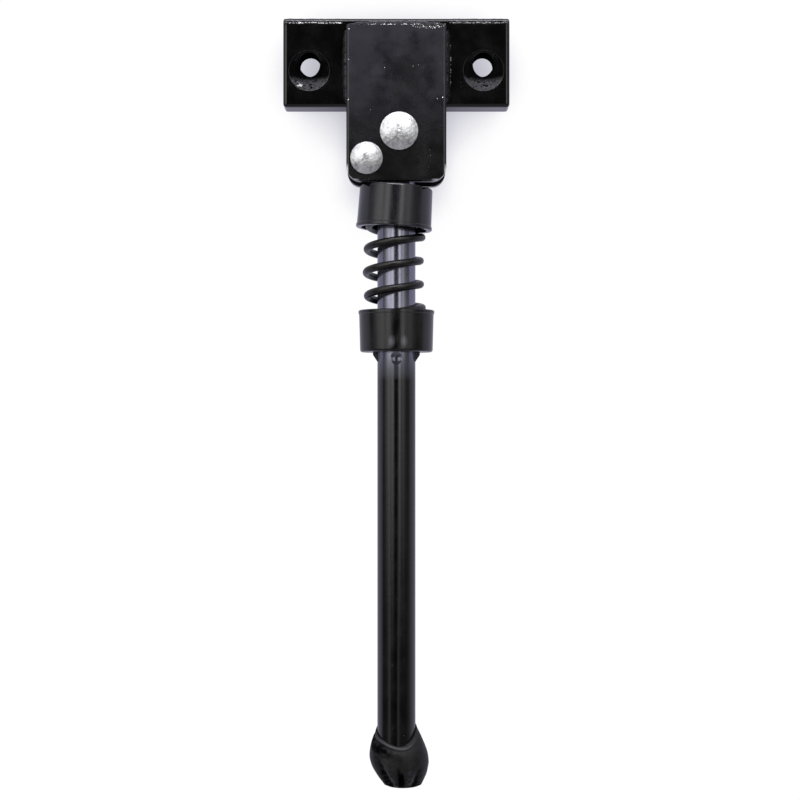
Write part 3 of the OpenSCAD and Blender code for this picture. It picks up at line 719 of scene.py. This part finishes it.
# painted shadow: the paper's glow darkens next to the bracket, most of all within 16 mm of it
near = add(tree, "ShaderNodeAmbientOcclusion", {"Distance": 16 * MM}).outputs["AO"]
far = add(tree, "ShaderNodeAmbientOcclusion", {"Distance": 60 * MM}).outputs["AO"]
shade = combine(tree, "MULTIPLY", lift(tree, near, 0.0, 0.8, 0.38, 1.0),
                lift(tree, far, 0.0, 0.9, 0.86, 1.0))
seen = add(tree, "ShaderNodeLightPath").outputs["Is Camera Ray"]
level = add(tree, "ShaderNodeMix", {0: seen, 2: 0.6, 3: 1.03}).outputs[0]
hue = tint(tree, shade, (0.75, 0.74, 1.0, 1), tint(tree, seen, (0.95, 0.93, 1.15, 1), grey(1.0)))
glow = add(tree, "ShaderNodeEmission", {"Color": hue, "Strength": combine(tree, "MULTIPLY", level, shade)})
one_sided = add(tree, "ShaderNodeMixShader", {0: add(tree, "ShaderNodeNewGeometry").outputs["Backfacing"],
                1: glow.outputs[0], 2: add(tree, "ShaderNodeBsdfTransparent").outputs[0]})
tree.links.new(one_sided.outputs[0], tree.nodes["Material Output"].inputs["Surface"])
sheet_mesh.materials.append(paper)

# Soft boxes stand all round in two rows, bright ones above eye level and dim ones below it. The gap
# between them at the camera is the dark line down the middle of the rod and the collars.
BOX_STRENGTH = 2.1
world = bpy.data.worlds.new("studio")
bpy.context.scene.world = world
world.use_nodes = True
tree = world.node_tree
ray = add(tree, "ShaderNodeSeparateXYZ", {0: add(tree, "ShaderNodeTexCoord").outputs["Generated"]}).outputs


def around_ramp(tree, stops):
    """Brightness by the compass direction, in degrees from straight at the camera to its right."""
    turned = combine(tree, "ARCTAN2", ray["X"], combine(tree, "MULTIPLY", ray["Y"], -1.0))
    ramp = add(tree, "ShaderNodeValToRGB", {"Fac": lift(tree, turned, -math.pi, math.pi)})
    stops_there = ramp.color_ramp.elements
    while len(stops_there) < len(stops):
        stops_there.new(0.5)
    for stop, (degrees, level) in zip(stops_there, stops):
        stop.position = (degrees + 180) / 360
        stop.color = grey(level)
    return ramp.outputs["Color"]


level_boxes = around_ramp(tree, [
    (-180, 0.3), (-120, 0.3), (-95, 0.12), (-82, 0.1), (-70, 0.3), (-58, 0.7), (-42, 0.95), (-35, 0.5),
    (-28, 1.1), (-19, 0.95), (-12, 0.12), (-7, 0.005), (7, 0.005), (12, 0.12), (17, 1.15), (23, 1.15),
    (28, 0.4), (36, 0.45), (44, 0.6), (52, 0.3), (62, 0.13), (78, 0.08), (95, 0.2), (120, 0.3), (180, 0.3)])
low_boxes = around_ramp(tree, [
    (-180, 0.3), (-110, 0.3), (-85, 0.03), (-62, 0.03), (-50, 0.1), (-43, 0.32), (-37, 0.1), (-28, 0.02),
    (-8, 0.006), (4, 0.02), (9, 0.2), (13, 0.24), (18, 0.06), (30, 0.02), (60, 0.03), (80, 0.1),
    (110, 0.3), (180, 0.3)])
above_low = lift(tree, ray["Z"], -0.16, 0.05)
boxes = tint(tree, above_low, low_boxes, level_boxes)
overhead = lift(tree, ray["Z"], 0.55, 0.85)
beneath = lift(tree, ray["Z"], -0.3, -0.6)
sky = tint(tree, overhead, boxes, grey(0.42, 1.15))
sky = tint(tree, beneath, sky, grey(0.16, 1.1))
seen = add(tree, "ShaderNodeLightPath").outputs["Is Camera Ray"]
tree.links.new(tint(tree, seen, sky, grey(1 / BOX_STRENGTH)), tree.nodes["Background"].inputs["Color"])
tree.nodes["Background"].inputs["Strength"].default_value = BOX_STRENGTH


def soft_light(name, place, aim, size, power):
    """A flat rectangular light that faces a point, its second side upright."""
    lamp = bpy.data.lights.new(name, "AREA")
    lamp.shape = "RECTANGLE"
    lamp.size, lamp.size_y = size
    lamp.energy = power
    made = bpy.data.objects.new(name, lamp)
    made.location = place
    made.rotation_euler = (Vector(aim) - Vector(place)).to_track_quat("-Z", "Y").to_euler()
    bpy.context.scene.collection.objects.link(made)
    return made


soft_light("top_front", (0.0, -0.42, 0.5), (0, 0, -0.02), (0.5, 0.12), 2.2)

camera = bpy.data.cameras.new("camera")
camera.lens = 66.4
camera.sensor_width = 36
viewer = bpy.data.objects.new("camera", camera)
viewer.location = (1.0 * MM, -414 * MM, -92.9 * MM)
viewer.rotation_euler = (math.pi / 2, 0, 0)
bpy.context.scene.collection.objects.link(viewer)
bpy.context.scene.camera = viewer
bpy.context.scene.view_settings.view_transform = "Standard"
